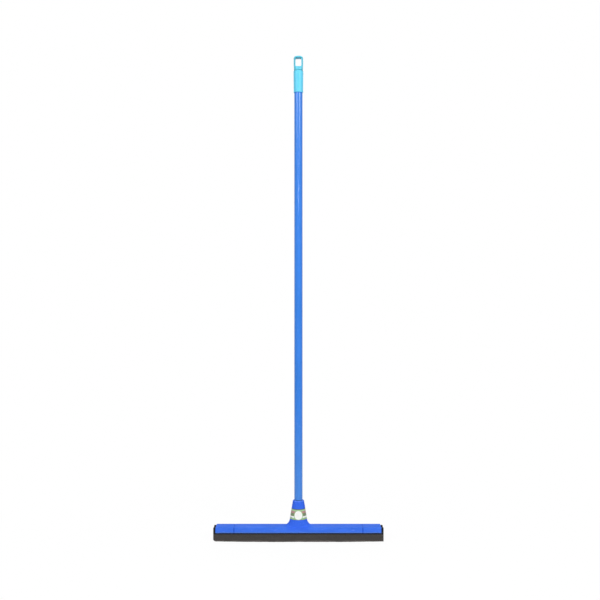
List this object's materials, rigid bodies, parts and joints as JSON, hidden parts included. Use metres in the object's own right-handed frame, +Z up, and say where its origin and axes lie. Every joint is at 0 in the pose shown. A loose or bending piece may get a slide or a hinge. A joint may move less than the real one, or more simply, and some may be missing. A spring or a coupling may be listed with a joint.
{
  "type": "floor squeegee",
  "caption": "Long-handled floor squeegee: moulded channel head with oval screw neck, twin cellular rubber blades on a clip-in rail, coated steel tube handle and end cap with hanging loop.",
  "frame": {"origin": "on the floor under the handle's axis, midway between the blades' working edges", "axes": "+Z up the handle, +X along the blades to the right in the picture, -Y towards the front"},
  "size_m": [0.45, 0.0386, 1.2863],
  "materials": {
    "head_plastic": "satin",
    "cellular_rubber": "matte",
    "rail_plastic": "matte",
    "tube_steel": "satin",
    "skin_film": "gloss",
    "ferrule_plastic": "satin",
    "cap_plastic": "satin"
  },
  "bodies": {
    "head": {"head_body": "head_plastic", "front_blade": "cellular_rubber", "rear_blade": "cellular_rubber", "blade_rail": "rail_plastic"},
    "handle_lift": {"handle_skin": "skin_film"},
    "handle": {"handle_tube": "tube_steel", "thread_ferrule": "ferrule_plastic", "hang_cap": "cap_plastic"}
  },
  "joints": [
    {"name": "handle_rise", "type": "slide", "parent": "head", "child": "handle_lift", "axis": [0, 0, 1], "range_m": [0, 0.0225]},
    {"name": "handle_turn", "type": "hinge", "parent": "handle_lift", "child": "handle", "pos_m": [0, 0, 0.1014], "axis": [0, 0, 1], "range_deg": [0, 1800]}
  ],
  "couplings": [
    {"joint": "handle_turn", "follows": "handle_rise", "rad_per_m": 1396.3}
  ]
}
